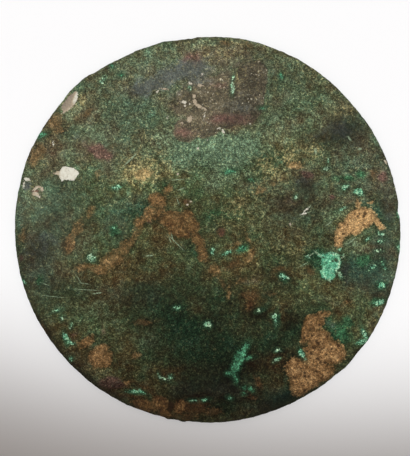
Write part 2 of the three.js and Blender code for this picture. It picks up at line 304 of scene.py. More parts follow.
# Towards green, or below zero towards brown.
SOFT["green"] = {
    2.1: [(44.5, -11.5, 4.2, 4.2)], 1.7: [(54.4, -44.4, 5, 4)], 1.5: [(-12, -38, 8.6, 6.4)],
    1.2: [(33.5, -68.5, 5.4, 3.2, 30)], 1.1: [(48, -37, 4, 5), (69, 8, 4.6, 8), (27, 29, 4, 6)],
    0.9: [(30, -11, 8, 4), (-3, -17, 4, 4), (24, -69, 8, 4), (-18, 17, 3.4, 3)],
    0.8: [(3, 7, 4, 4), (14, -58, 8, 8), (47, -11, 4, 7), (-33, -37, 9, 4), (-30, 7, 7, 4),
          (6.4, -73.6, 5, 3.6)],
    0.7: [(-38, 0, 6, 7), (4, 31, 22, 9), (63, -14, 7, 5), (0, -50, 16, 12), (-26, -12, 9, 5),
          (25, -15, 5, 4)],
    0.6: [(30, -42, 9, 10), (56, -40, 8, 7), (-66, 15, 5, 7), (4, -28, 7, 6), (33, -24, 5, 4),
          (-25, -52, 5, 5), (-78, 0, 3, 14), (61, -27, 4, 4), (60, -16, 4, 4), (35, 19, 3, 3),
          (6, -13, 6, 2.4)],
    0.5: [(-32, 52, 20, 14), (-22, -29, 10, 6), (-68, -21, 7, 6), (72, -14, 6, 16), (30, 64, 5, 7),
          (-30, 8, 8, 6), (58, 20, 10, 6), (-12, -67, 6, 4), (-5, -8, 5, 4), (-10, -25, 5, 4),
          (-28, -39, 6, 4), (-43, -47, 8, 4), (25, -26, 4, 4), (25, -47, 4, 3), (-22, -72, 4, 3),
          (70, -18, 5, 7), (-48, -22, 4, 3), (70, 35, 3, 5, 25), (45, -12, 2.4, 2.4), (-4, 14, 3, 3),
          (5, -48, 6, 5), (-12, -56, 8, 2.4), (20, 68, 3, 9), (-27, -62, 3, 3)],
    0.45: [(-57, 14, 14, 16), (42, 52, 14, 9)], 0.3: [(-55, -30, 14, 9), (-30, -46, 12, 8)],
    -0.3: [(-38, 58, 8, 8), (-32, 64, 9, 3), (-34, 13, 4, 4)],
    -0.4: [(57, -28, 10, 4), (31, 67, 9, 8), (45, 48, 12, 8), (57, -23, 4, 3), (-60, -2, 4, 5),
           (8, 25, 4, 3), (18, 3, 3, 3), (-17, 57, 8, 5)],
    -0.45: [(-54, 33, 15, 7, -10)],
    -0.5: [(-5, -32, 7, 6), (24, -22, 12, 8), (-62, -40, 7, 5), (24, -64, 8, 9), (20, -74, 14, 4, 10),
           (-68, 31, 9, 9, 60), (57, -33, 6, 8), (-40, -29, 16, 3), (-20, 36, 7, 9), (74, -30, 5, 5),
           (-9, 72, 5, 4), (-54, -7, 7, 3), (50, 14, 4, 3), (30, 8, 6, 4), (-45, -33, 10, 4, -20),
           (67, -38, 3, 6, -25), (-36, 56, 5, 4), (32, 26.4, 10, 9), (37, -49, 3, 3), (-34, -20, 10, 3),
           (76, 12, 3, 7), (12, 63, 3, 8), (1, 69, 5, 4), (-17, -5, 5, 4), (42, -15, 2, 5, -20)],
    -0.6: [(42, -7, 14, 6), (-46, -20, 16, 5), (-75, -3, 4, 8), (8, 75, 14, 4), (-24, -12, 14, 7),
           (65, 18, 9, 3), (-73, -20, 5, 8), (-15, 12, 4, 5), (70, 22, 8, 3), (-66, 42, 4, 4),
           (71, -30, 6, 3), (-53, 5, 4, 5), (-23, -36, 5, 3), (38, -12, 4, 5), (2, 10, 3, 3),
           (60, 12, 8, 3, 20), (18, -7, 3, 3)],
    -0.7: [(-28, -39, 12, 4), (-44, -54, 14, 6), (3, -68, 9, 4), (24, -56, 7, 4), (-38, 1, 4, 5),
           (54, -36, 4, 3), (14, -8, 7, 1.6), (63, 34, 5, 4), (30, 37, 5, 4), (-50, 48, 9, 6),
           (-66.5, 15, 10, 3), (7, 2, 3, 3.4), (-5, -33, 3, 3), (60, -42, 3, 5, 35)],
    -0.8: [(-20, 0, 7, 4), (8, -62, 4, 4), (-33, -13, 4, 3), (-3, -69.6, 7, 3), (10, 42, 7, 3.4)],
    -0.9: [(11, -15, 14, 5, 8), (-14, -57, 14, 3), (-35, -66, 16, 4), (36, 13.4, 3.6, 4)],
    -0.95: [(-33, -48, 7, 5.4)],
    -1: [(-14, -73, 16, 5, -8), (30, -18, 3, 2.4), (-57, -46, 4, 4), (68, -9, 8, 4)],
    -1.1: [(-15.5, -61, 6, 3)], -1.2: [(18, -31, 4, 3.6)], -1.3: [(17, -54.6, 4, 5)],
    -1.4: [(16, -67, 4, 3)], -1.5: [(-30, -67, 6, 3)], -1.6: [(28, -53.5, 4, 4)],
    -1.9: [(29, -36, 3.6, 4.6)],
}

# Darker, or below zero lighter. Most patches are the patina's own tone; the broad one over the top
# (lighter) and the one over the lower half (darker) are painted light and shade, and the patch
# just below the white chip is its painted shadow.
SOFT["shade"] = {
    0.97: [(30.4, -71.4, 12.4, 4, 21)], 0.85: [(0, -62, 22, 13), (35, -56.6, 4.6, 5.8)],
    0.83: [(-51, -61.2, 8, 3.6, -42)], 0.72: [(14.6, -51.8, 5, 5), (21.4, -34, 3.8, 3.8)],
    0.7: [(57, -17.4, 2.8, 5)], 0.65: [(40, 18.6, 5, 4, 20)],
    0.6: [(8, -72, 30, 7, 6), (54, 41, 12, 6, 8), (71, -26, 5, 4), (-40, -68, 12, 3, -28),
          (62, -54, 3, 7, -35), (22, -56, 7, 5), (-12.4, -32.4, 3.6, 3.4)],
    0.58: [(30.6, -20.4, 4.8, 3.6)], 0.55: [(34, 10.2, 7.4, 5.6)],
    0.5: [(-27, -26, 15, 7, 10), (33, -38, 5, 10), (9, -61, 5, 6), (-33, -65.6, 8.4, 4)],
    0.48: [(71, -12.6, 4.6, 6)], 0.45: [(-5, -69.4, 12, 4.6), (37, -40, 5.6, 6.4)],
    0.43: [(-69.4, -10, 7.4, 8), (64.5, -20, 3.6, 3)], 0.42: [(28, -49, 3, 3.4)],
    0.4: [(-6, -45, 24, 12), (-8, -8, 4, 3), (-70, -38, 3, 7, 35), (-22, 2.4, 4, 1.6), (-18, 20, 3, 3, 40),
          (46, -10.4, 3.4, 2, -20), (-62, -48, 12, 3, -55), (-40, -63.4, 4, 2.8)],
    0.38: [(64, -35.5, 3.6, 4)], 0.35: [(53, -4, 5, 5)], 0.34: [(73.6, 28.4, 3.4, 6.2, 25)],
    0.33: [(-53, -24.6, 10, 5)],
    0.3: [(46, 36, 8, 4), (75, 12, 4, 11), (-75, 19, 1.6, 1.8), (24, -47, 6, 5), (-36, -4, 3, 3),
          (20, -33, 10, 7), (59, -22, 5, 2, 20), (-30, -15, 4, 3), (71, -5, 3, 4), (-76, -18, 3, 6),
          (37.6, -63.4, 6, 5.4)],
    0.28: [(60, 36, 6, 5), (-24, 41, 3.4, 3), (3, -39, 4, 3)], 0.27: [(0, -42, 80, 22)],
    0.25: [(31, -54, 6, 12), (-17, -6, 6, 5), (44, 4, 5, 14), (40, -10, 5, 4), (21, -18, 6, 2.4),
           (-35, -57, 5, 3), (28, -37, 3, 3), (-57, 39, 3, 3)],
    0.22: [(0, -30, 34, 14), (-6, -30, 14, 8), (50, 10, 6, 3)],
    0.2: [(10, -58, 14, 8), (-21, -38, 8, 6), (-61, 2, 5, 6), (2, 4, 7, 5), (32, 68, 18, 7, -28),
          (65, 20, 4, 6), (29, 46, 6, 4), (-14, -17, 5, 4), (-20, 77, 12, 4), (24, -4, 4, 3),
          (42, 50, 5, 4), (44, -34, 5, 4, 40), (8, 28, 4, 2.4), (-59, 17, 5, 3), (-28, 10, 5, 3),
          (61, -10, 5, 3)],
    0.15: [(-71, -10, 7, 20), (18, 62, 8, 12), (-66, -24, 10, 8), (52, -50, 10, 10), (-38, 53, 12, 6),
           (58, 42, 7, 4)],
    0.1: [(0, 0, 60, 50), (-40, -52, 16, 10)], -0.08: [(-20, 38, 10, 14)], -0.1: [(0, 20, 24, 6)],
    -0.12: [(42, 36, 8, 6), (0, 34, 9, 5)], -0.18: [(-48, 30, 12, 14), (31, 41, 6, 6)],
    -0.2: [(0, 80, 100, 36), (70, 22, 4, 4), (-38, -24, 6, 6), (-21, -22, 6, 5), (22, 36, 6, 4),
           (-9, 44, 7, 6), (65, -34, 5, 7), (66, -1, 5, 3), (61, -6, 7, 4), (42, 34, 4, 5),
           (-12, -35, 6, 4), (-45, -42, 8, 4), (-25, 20, 7, 5), (20, 76, 10, 3, -15), (70, 36, 4, 5, 30),
           (8, 25, 3, 3), (-48, 52, 4, 4), (-9, 41, 4, 3)],
    -0.22: [(-5, 57, 4, 3), (-33, -37, 4, 3), (73, -19, 3, 4)],
    -0.25: [(-60, -14, 5, 4), (31, 20, 6, 4), (47, 44, 7, 7), (-32, -47, 4, 4), (10, 63, 3, 5),
            (31, -60, 4, 8), (45, 21, 5, 4), (35, 18, 3, 3), (-10, -28, 5, 2.6)],
    -0.28: [(0, 50.6, 14, 11), (20, -28.6, 3, 3.4), (32.6, -45, 2, 4)],
    -0.3: [(18, -24, 4, 5), (2, -17, 4, 4), (-72, 13, 8, 11), (44, -22, 9, 4), (-33, 21, 8, 9),
           (72, 21.6, 2.4, 2.2), (54.4, -44, 3.4, 3.4)],
    -0.35: [(-15, 22.4, 6, 4), (50.6, -38.4, 2.6, 3)], -0.4: [(55, 4.6, 4, 6)], -0.42: [(-58, 51.6, 7, 7)],
    -0.43: [(-41, -62, 6, 4.4, -10)], -0.45: [(14, -10.4, 5, 4.4)], -0.56: [(31.4, -29.4, 5.4, 4.4)],
}

# Pale green crust.
SOFT["pale"] = {
    1: [(14, 34, 9, 6, 8)], 0.9: [(-11, 31, 6, 7), (2, 34, 8, 6)],
    0.5: [(8, 24, 9, 6), (-20, 38, 6, 4), (-66, 17, 3, 6), (60, -6, 6, 3), (10, 66, 2.6, 4)],
    0.4: [(1, 18, 5, 4), (27, 46, 7, 3, 50), (34, 54, 6, 4, 40), (-46, 39, 8, 3), (-25, -46, 6, 4)],
    0.3: [(45, 46, 8, 5), (-57, 32, 5, 4), (50, 6, 3, 7, -30), (-50, -6, 5, 5), (-45, -34, 12, 5)],
}

# Golden speckle.
SOFT["gold"] = {
    1: [(-28, 25, 6.5, 5.5)], 0.8: [(44.5, 33, 3.4, 3.2)],
    0.7: [(24, 26, 5, 4, -30), (13.4, 11, 2.6, 3.6, 20)],
    0.6: [(34, 30, 7, 4.5), (57, 49, 6, 2.4, 10), (70.6, -36, 1.4, 5, -26), (-46, -58, 5, 1.4, -14)],
    0.5: [(30, 22, 4, 2.5), (12.4, 62, 2, 5), (-51, 53, 3.4, 2.2, 60)],
    0.4: [(-24, 22, 6, 4), (22, 16, 5, 3), (-16, 26, 5, 5), (68, 10, 3, 3)],
    0.3: [(6, 73, 7, 3), (-70, 29, 5, 5), (32, -8, 8, 4), (45, 64, 9, 3, -40), (-26, 38, 6, 4)],
    0.25: [(10, 5, 9, 9)],
}

# Smooth slate grey.
SOFT["slate"] = {
    1.2: [(-74.6, 18.4, 1.8, 2)], 1.1: [(-8, 67, 9, 4.2, 6)], 1: [(-27, 58, 6.5, 4.2, 14)],
    0.8: [(-18, 62, 8, 4, 14)], 0.7: [(-3, 62, 5, 4), (54, 41, 10, 5, 8)],
    0.6: [(40, 20, 4, 2.4), (57, -17, 2.2, 4.4)],
    0.5: [(13, 50, 7, 5), (-70, -9, 8, 7), (36, 63, 3, 2), (-54, 38, 4, 2), (50.6, -39.4, 3.4, 3),
          (74, 8, 3, 6)],
    0.4: [(-13, 57, 5, 4), (-66, -4, 6, 4)], 0.3: [(-2, 50, 5, 4), (17, 55, 8, 6), (34, 5, 6, 4)],
}

# Purple and red.
SOFT["red"] = {
    1.8: [(-39.6, -63.2, 4.6, 2.4, -6)], 1.6: [(72, 21.6, 2, 1.9)], 1.5: [(-44.9, 32.2, 6, 3, -25)],
    1.4: [(41, 23, 3.4, 1.6, -12)], 1.2: [(51, 13.5, 1.3, 1.2), (-71.4, 16.2, 2.2, 0.8, 10)],
    1.1: [(5.8, -0.6, 1.8, 2.4)], 1: [(-77.6, -11.4, 1.2, 1.8)], 0.9: [(-7, 71, 5, 3, -10)],
    0.8: [(-10, 40.6, 5, 3), (12, 45, 10, 3, 6), (-24, 3.6, 1.2, 1.6), (-56, -43, 1.6, 1.2)],
    0.7: [(-8.6, 12, 2.2, 1.2)], 0.6: [(5, 59, 5, 2), (4, 46, 4, 2), (-43.4, -42, 1.4, 4)],
    0.4: [(0, -66, 2.4, 2), (20, -20, 8, 2.4, 10), (50, -30, 3, 1), (68, -38, 2, 2)],
    0.3: [(73, 26, 2, 2)],
}

# Small random holes all over the face, which show in the thick earth crusts.
PORES = 2200
PORES_REACH = 80  # they are strewn this far from the middle
PORE_EDGE = 2  # nothing of a pore is left at this distance

# The underside is plainer: this many patches of each growth, strewn at random.
BACK_PATCHES = {"earth": 16, "bloom": 12, "malachite": 16, "soft": 26}


# ---- noise ----------------------------------------------------------------------------------

def noise(x, y, cell, seed):
    """Smooth random values from -1 to 1, with features about one cell wide."""
    table = np.random.default_rng(SEED + seed).uniform(-1.0, 1.0, (256, 256))
    u, v = x / cell, y / cell
    i, j = np.floor(u).astype(int), np.floor(v).astype(int)
    s, t = u - i, v - j
    s, t = s * s * (3 - 2 * s), t * t * (3 - 2 * t)
    near = table[i & 255, j & 255] * (1 - t) + table[i & 255, (j + 1) & 255] * t
    far = table[(i + 1) & 255, j & 255] * (1 - t) + table[(i + 1) & 255, (j + 1) & 255] * t
    return near * (1 - s) + far * s


def layered_noise(x, y, cell, seed, octaves=3):
    """Noise with finer and finer layers, each half as strong as the one before."""
    total = sum(0.5**k * noise(x, y, cell * 0.5**k, seed + k) for k in range(octaves))
    return total / sum(0.5**k for k in range(octaves))


def smooth_step(low, high, value):
    """0 up to low, 1 from high, with a smooth rise between them."""
    t = np.clip((value - low) / (high - low), 0.0, 1.0)
    return t * t * (3 - 2 * t)


# ---- growths over the surface -----------------------------------------------------------------

FAR_OUTSIDE = -6.0  # depth given to points that are far from every patch


def share_of(patch, x, y):
    """0 in the middle of a patch, 1 on its edge, more outside."""
    middle_x, middle_y, length, width, *rest = patch
    turn = math.radians(rest[0]) if rest else 0.0
    dx, dy = x - middle_x, y - middle_y
    along = dx * math.cos(turn) + dy * math.sin(turn)
    across = dy * math.cos(turn) - dx * math.sin(turn)
    return np.hypot(along / length, across / width)


def flake_depth(corners, x, y):
    """How far inside a flake with straight edges each point is, below zero outside."""
    nearest = np.full(x.shape, 1e9)
    inside = np.zeros(x.shape, bool)
    for (ax, ay), (bx, by) in zip(corners, corners[1:] + corners[:1]):
        dx, dy = bx - ax, by - ay
        along = np.clip(((x - ax) * dx + (y - ay) * dy) / (dx**2 + dy**2), 0, 1)
        nearest = np.minimum(nearest, np.hypot(x - ax - along * dx, y - ay - along * dy))
        if dy:
            crossing = ax + (y - ay) / dy * dx
            inside ^= ((ay > y) != (by > y)) & (x < crossing)
    return np.where(inside, nearest, -nearest)


def depth_in(patches, x, y):
    """How far inside the patches each point is, in mm, below zero outside."""
    depth = np.full(x.shape, FAR_OUTSIDE)
    for patch in patches:
        if isinstance(patch, list):
            inside = flake_depth(patch, x, y)
        else:
            inside = (1 - share_of(patch, x, y)) * min(patch[2], patch[3])
        depth = np.maximum(depth, inside)
    return depth


def growth(groups, x, y):
    """Depth inside the nearest group of patches, and the tone and thickness of what is there."""
    depth = np.full(x.shape, FAR_OUTSIDE)
    weight, tone, thickness = (np.full(x.shape, 1e-9) for _ in range(3))  # never quite zero
    for _, group_tone, group_thickness, patches in groups:
        inside = depth_in(patches, x, y)
        share = np.exp(2.5 * inside)  # the deeper group counts for more
        depth = np.maximum(depth, inside)
        weight += share
        tone += share * group_tone
        thickness += share * group_thickness
    return depth, tone / weight, thickness / weight


def soft_field(patches_by_strength, x, y):
    """Sum of broad patches, each strongest in its middle."""
    total = np.zeros(x.shape)
    for strength, patches in patches_by_strength.items():
        for patch in patches:
            total += strength * np.exp(-share_of(patch, x, y) ** 2)
    return total


def warp(x, y):
    """Moves the points a little, so that the ellipses become ragged natural outlines."""
    wide, narrow = 6.0, 1.7
    across = 1.1 * layered_noise(x, y, wide, 10) + 0.5 * layered_noise(x, y, narrow, 20, 2)
    up = 1.1 * layered_noise(x, y, wide, 30) + 0.5 * layered_noise(x, y, narrow, 40, 2)
    return x + across, y + up


def strewn(count, smallest, largest, seed, radius):
    """Random patches over a disc of that radius, each with a strength from 0.3 to 1."""
    rng = np.random.default_rng(SEED + seed)
    made = []
    for _ in range(count):
        reach, angle = radius * math.sqrt(rng.random()), rng.uniform(0, 2 * math.pi)
        length = rng.uniform(smallest, largest)
        made.append((
            reach * math.cos(angle), reach * math.sin(angle), length,
            length * rng.uniform(0.4, 0.8), rng.uniform(0, 180), rng.uniform(0.3, 1.0),
        ))
    return made


FACE_GROWTHS = {
    "earth": EARTH, "bloom": BLOOM, "lime": LIME, "malachite": MALACHITE,
    "cuprite": CUPRITE, "pits": PITS, "soft": SOFT,
}


def back_growths(radius):
    """The same growths for the underside, strewn at random over a disc of that radius."""
    soft = {}
    for number, name in enumerate(SOFT):
        count = BACK_PATCHES["soft"] // (3 if name in ("gold", "slate", "red") else 1)
        patches = strewn(BACK_PATCHES["soft"], 6, 16, 500 + number, radius)[:count]
        soft[name] = {strength: [patch] for *patch, strength in patches}
    return {
        "earth": [("earth", 0.4, 0.35, strewn(BACK_PATCHES["earth"], 1.5, 8, 510, radius))],
        "bloom": [("bloom", 0.4, 0.2, strewn(BACK_PATCHES["bloom"], 0.8, 3, 520, radius))],
        "lime": [("lime", 0.6, 0.1, strewn(3, 0.6, 1.2, 530, radius))],
        "malachite": strewn(BACK_PATCHES["malachite"], 2, 5, 540, radius),
        "cuprite": strewn(3, 6, 12, 550, radius),
        "pits": [(x, y, 0.6) for x, y, *_ in strewn(30, 1, 2, 560, radius)],
        "soft": soft,
    }


def measure(growths, x, y):
    """Every growth at the given points: a dict of arrays, which also go into the material."""
    wx, wy = warp(x, y)
    found = {name: soft_field(field, wx, wy) for name, field in growths["soft"].items()}
    fx, fy = (x + wx) / 2, (y + wy) / 2  # small growths keep more of their shape
    for name, at_x, at_y in (("earth", wx, wy), ("bloom", fx, fy), ("lime", x, y)):
        depth, tone, thickness = growth(growths[name], at_x, at_y)
        found.update({name: depth, f"{name}_tone": tone, f"{name}_thickness": thickness})
    found["malachite"] = depth_in(growths["malachite"], wx, wy)
    found["cuprite"] = depth_in(growths["cuprite"], fx, fy)
    pit = np.zeros(x.shape)
    for px, py, radius in growths["pits"]:
        pit = np.maximum(pit, np.exp(-((x - px) ** 2 + (y - py) ** 2) / radius**2))
    pores = np.zeros(x.shape)
    for px, py, radius, *_, depth in strewn(PORES, 0.4, 0.7, 600, PORES_REACH):
        near = (np.abs(x - px) < PORE_EDGE) & (np.abs(y - py) < PORE_EDGE)
        pores[near] += depth * np.exp(-((x[near] - px) ** 2 + (y[near] - py) ** 2) / radius**2)
    crusted = smooth_step(0.3, 0.9, found["earth"]) * smooth_step(0.4, 0.6, found["earth_thickness"])
    found["pit"] = np.maximum(pit, np.clip(1.3 * pores, 0, 1) * crusted)
    return found


def relief(found, x, y):
    """How far the corroded surface stands above the smooth casting, in mm."""
    fine = layered_noise(x, y, 1.5, 60, 2)
    grains = layered_noise(x, y, 2.4, 70, 3)
    swell = layered_noise(x, y, 9.0, 80, 2)
    bare = np.maximum(smooth_step(-0.4, 0.5, found["cuprite"]), np.clip(found["bare"], 0, 1))
    rough = 1.0 - 0.7 * np.clip(np.maximum(bare, found["slate"]), 0, 1)
    rough *= 1.0 - 0.4 * np.clip(found["calm"], 0, 1)
    height = rough * (GRAINS * grains + FINE_GRAINS * fine) + SWELLS * swell - BARE_DEPTH * bare
    earth = smooth_step(-0.3, 1.1, found["earth"] + 0.5 * fine)
    height += earth * found["earth_thickness"] * (0.75 + 0.25 * grains)
    bloom = smooth_step(-0.2, 0.5, found["bloom"] + 0.25 * fine)
    height += bloom * found["bloom_thickness"] * (0.8 + 0.4 * fine)
    height += MALACHITE_HEIGHT * smooth_step(-0.5, 1.0, found["malachite"] + 0.6 * grains)
    height += smooth_step(-0.12, 0.22, found["lime"]) * found["lime_thickness"]
    return height - PIT_DEPTH * found["pit"] - POCK_DEPTH * np.clip(-fine - 0.45, 0, 1) * rough


# ---- mesh: rings of points from the middle of the face, over the edge, to the underside ---------

def zip_rings(inner, outer):
    """Triangles between two closed rings, given as ranges of point numbers."""
    inner_steps = len(inner) if len(inner) > 1 else 0
    outer_steps = len(outer) if len(outer) > 1 else 0
    triangles = []
    i = j = 0
    while i < inner_steps or j < outer_steps:
        a, b = inner[i % len(inner)], outer[j % len(outer)]
        next_inner = (i + 1) / inner_steps if i < inner_steps else math.inf
        next_outer = (j + 1) / outer_steps if j < outer_steps else math.inf
        if next_outer <= next_inner:
            j += 1
            triangles.append((a, b, outer[j % len(outer)]))
        else:
            i += 1
            triangles.append((a, b, inner[i % len(inner)]))
    return triangles


def cad_edge(node):
    """The CAD disc's edge radius by direction, in mm, as a function of the angle in radians."""
    co = np.array([v.co for v in node.data.vertices]) / MM
    radius, angle = np.hypot(co[:, 0], co[:, 1]), np.arctan2(co[:, 1], co[:, 0]) % (2 * math.pi)
    slot = np.round(angle / (2 * math.pi) * DIRECTIONS).astype(int) % DIRECTIONS
    edge = np.zeros(DIRECTIONS)
    np.maximum.at(edge, slot, radius)
    places = np.arange(DIRECTIONS) * 2 * math.pi / DIRECTIONS
    return lambda a: np.interp(a, places, edge, period=2 * math.pi)


def bake_map(mesh, share, slope, angle, radius):
    """A flat map for baking: the face with the edge round it, and a smaller underside."""
    edge_length = math.pi * EDGE_ROUND
    face = np.where(share < 1, share * radius, radius + (0.5 - slope / math.pi) * edge_length)
    (face_middle, face_radius), (back_middle, back_radius) = MAP_FACE, MAP_BACK
    face = face_radius / (radius + edge_length) * face
    back = back_radius * share
    corner = np.empty(len(mesh.loops), dtype=int)
    mesh.loops.foreach_get("vertex_index", corner)
    under = (slope < BACK_SLOPE)[corner].reshape(-1, 3).all(axis=1).repeat(3)
    across, up = np.cos(angle)[corner], np.sin(angle)[corner]
    u = np.where(under, back_middle - back[corner] * across, face_middle + face[corner] * across)
    v = np.where(under, back_middle + back[corner] * up, face_middle + face[corner] * up)
    layer = mesh.uv_layers.new(name="OFBake")
    layer.data.foreach_set("uv", np.stack([u, v], axis=1).astype(np.float32).ravel())


def disc_rings(radius):
    """Each ring's share of the way out, slope (90 on the face, -90 below) and number of points."""
    face_rings = round(radius / FACE_CELL)
    back_rings = round(radius / BACK_CELL)
    around = round(2 * math.pi * radius / FACE_CELL)
    rings = [(0.0, 90.0, 1)]
    for k in range(1, face_rings):
        rings.append((k / face_rings, 90.0, round(around * k / face_rings)))
    for k in range(RIM_STEPS + 1):
        rings.append((1.0, 90 - 180 * k / RIM_STEPS, around))
    for k in range(back_rings - 1, 0, -1):
        rings.append((k / back_rings, -90.0, round(around * k / back_rings * FACE_CELL / BACK_CELL)))
    rings.append((0.0, -90.0, 1))
    return rings


def disc_points(radius):
    """Share, slope and angle of every point of the rings, and the triangles between them."""
    share, slope, angle, triangles, last = [], [], [], [], None
    for ring_share, ring_slope, count in disc_rings(radius):
        numbers = range(len(share), len(share) + count)
        share += [ring_share] * count
        slope += [ring_slope] * count
        angle += [2 * math.pi * i / count for i in range(count)]
        if last is not None:
            triangles += zip_rings(last, numbers)
        last = numbers
    return np.array(share), np.radians(slope), np.array(angle), triangles


def disc_mesh(node):
    """The corroded disc as a mesh object, with every growth as an attribute of its points."""
    edge_at = cad_edge(node)
    radius = float(edge_at(np.linspace(0, 2 * math.pi, DIRECTIONS)).mean())
    share, slope, angle, triangles = disc_points(radius)
    edge = edge_at(angle)
    nick = layered_noise(edge * np.cos(angle), edge * np.sin(angle), 2.2, 90, 3)
    edge = edge + EDGE_WEAR * nick - EDGE_INSET
    flat = share * (edge - EDGE_ROUND)
    out = np.where(share < 1, flat, edge - EDGE_ROUND * (1 - np.cos(slope)))
    x, y = out * np.cos(angle), out * np.sin(angle)

    face, back = measure(FACE_GROWTHS, x, y), measure(back_growths(radius), x, y)
    found = {name: np.where(slope > BACK_SLOPE, face[name], back[name]) for name in face}
    from_edge = (1 - share) * radius
    fade = np.clip(from_edge / EDGE_FADE, 0, 1)
    height = relief(found, x, y)
    on_face = RIM_THICKNESS + CROWN * (1 - share**2) + fade * height
    on_rim = RIM_THICKNESS / 2 * (1 + np.sin(slope))
    on_back = fade * BACK_RELIEF * smooth_step(-0.1, 0.9, 0.35 - height)
    z = np.where(share == 1, on_rim, np.where(slope > 0, on_face, on_back))
    z = np.minimum(z, cad_high.z / MM)

    # The corroded edge is not quite even.
    lump = EDGE_LUMPS * layered_noise(angle * radius, slope * 2.0, 1.8, 95, 2)
    lump = np.where((share == 1) & (np.abs(slope) < 1.5), lump, 0)
    x, y = x + lump * np.cos(angle), y + lump * np.sin(angle)

    # Grime and painted shade lie in the rounding of the edge; the painted shade puts most of it along
    # the lower side, away from the lamp.
    found["rim"] = np.exp(-from_edge / GRIME_AND_SHADE_FADE) * (0.5 - 0.5 * np.sin(angle + 0.3))

    mesh = bpy.data.meshes.new("patinated_disc")
    mesh.from_pydata((np.stack([x, y, z], axis=1) * MM).tolist(), [], triangles)
    mesh.polygons.foreach_set("use_smooth", [True] * len(mesh.polygons))
    for name, values in found.items():
        layer = mesh.attributes.new(name, "FLOAT", "POINT")
        layer.data.foreach_set("value", values.astype(np.float32))
    bake_map(mesh, share, slope, angle, radius)
    mesh.update()
    made = bpy.data.objects.new("patinated_disc", mesh)
    bpy.context.scene.collection.objects.link(made)
    return made


# ---- material -------------------------------------------------------------------------------
# Colours are in everyday 0 to 255 numbers, and a ramp is a list of stops: position and colour.
CLEAN_CRUST = [
    (0.0, (79, 58, 33)), (0.3, (69, 62, 37)), (0.55, (61, 68, 43)), (0.8, (49, 69, 44)),
    (1.0, (38, 64, 42)),
]
# The greyer, paler crust where dust and painted sheen lie.
DUST_AND_SHEEN_CRUST = [
    (0.0, (88, 74, 61)), (0.3, (80, 76, 61)), (0.55, (72, 80, 63)), (0.8, (62, 80, 64)),
    (1.0, (52, 76, 63)),
]
BARE_METAL = [(0.3, (62, 56, 45)), (0.7, (76, 69, 55))]
GREEN = [(0.35, (35, 67, 43)), (0.65, (52, 91, 61))]
SOIL = [(0.0, (74, 49, 31)), (0.3, (92, 67, 40)), (0.6, (119, 89, 58)), (1.0, (166, 131, 89))]
SALTS = [(0.0, (48, 86, 62)), (0.35, (66, 116, 86)), (0.6, (84, 156, 124)), (1.0, (154, 178, 148))]
CHALK = [(0.0, (122, 110, 100)), (0.5, (172, 156, 132)), (1.0, (214, 211, 196))]
GRAIN_TINTS = [(0.3, (253, 247, 235)), (0.7, (236, 247, 255))]
SLATE, PALE_CRUST, GOLD, PURPLE = (72, 74, 70), (82, 99, 77), (124, 113, 78), (85, 60, 54)
FLECK, SPECK, THREAD = (106, 116, 86), (176, 166, 146), (146, 164, 134)
HALO, TURQUOISE = (34, 62, 42), (92, 158, 120)
# The second colour below, for the edge, is grime together with painted shade on its lower side.
PIT, GRIME_AND_SHADE = (46, 33, 22), (34, 33, 25)


def linear(red, green, blue):
    """A colour as linear light with alpha."""
    values = [c / 255 for c in (red, green, blue)]
    return (*[c / 12.92 if c <= 0.04045 else ((c + 0.055) / 1.055) ** 2.4 for c in values], 1.0)


